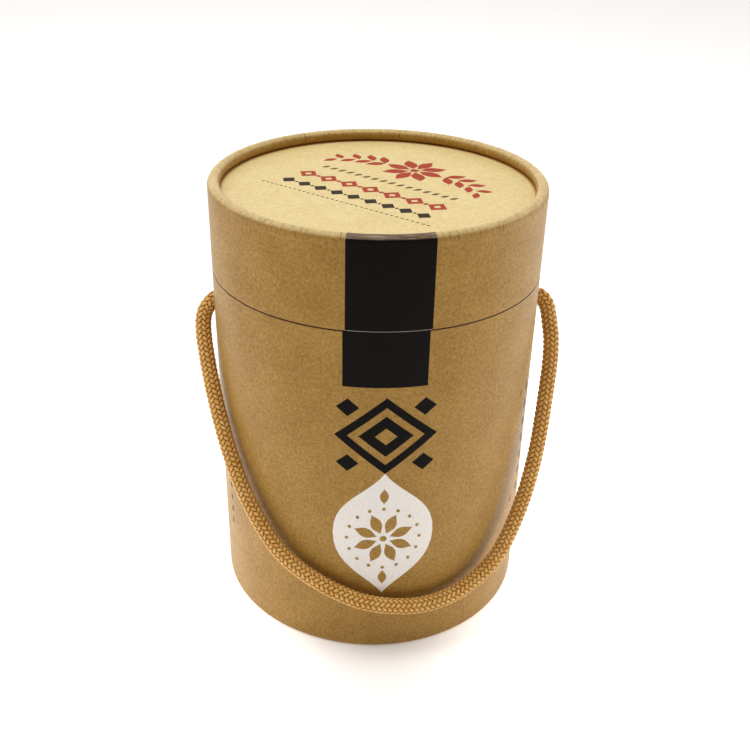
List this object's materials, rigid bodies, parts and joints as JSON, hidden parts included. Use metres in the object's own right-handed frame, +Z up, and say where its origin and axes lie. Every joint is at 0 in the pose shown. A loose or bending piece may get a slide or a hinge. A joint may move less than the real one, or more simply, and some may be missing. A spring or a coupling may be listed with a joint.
{
  "type": "cylindrical gift tube box",
  "caption": "Cylindrical kraft board gift box with rolled rims, a lift-off lid that slides over an inner neck, and a braided rope carrying handle.",
  "frame": {"origin": "centre of the base, on the surface that the box stands on", "axes": "+Z up along the tube, -Y towards the printed front, +X to the right seen from the front, along the line through both rope holes"},
  "size_m": [0.1326, 0.1229, 0.16],
  "materials": {
    "printed_kraft": "uncoated kraft, printed",
    "plain_kraft": "uncoated kraft",
    "lining_paper": "uncoated kraft",
    "core_board": "grey-brown core board",
    "neck_board": "smooth kraft board",
    "braided_rope": "braided synthetic rope, silky"
  },
  "bodies": {
    "tube_body": {"body_wall": "core_board", "body_wrap": "printed_kraft", "neck_sleeve": "neck_board", "neck_lining": "lining_paper", "base_panel": "core_board", "base_outer_paper": "plain_kraft", "base_lining": "lining_paper"},
    "lid": {"lid_wall": "core_board", "lid_wrap": "printed_kraft", "lid_panel": "core_board", "lid_face_paper": "printed_kraft", "lid_lining": "lining_paper"},
    "handle": {"rope_handle": "braided_rope", "rope_knot_left": "braided_rope", "rope_knot_right": "braided_rope"}
  },
  "joints": [
    {"name": "lid_lift", "type": "slide", "parent": "tube_body", "child": "lid", "axis": [0, 0, 1], "range_m": [0, 0.1]},
    {"name": "handle_swing", "type": "hinge", "parent": "tube_body", "child": "handle", "pos_m": [0, 0, 0.115], "axis": [-1, 0, 0], "range_deg": [0, 292]}
  ]
}
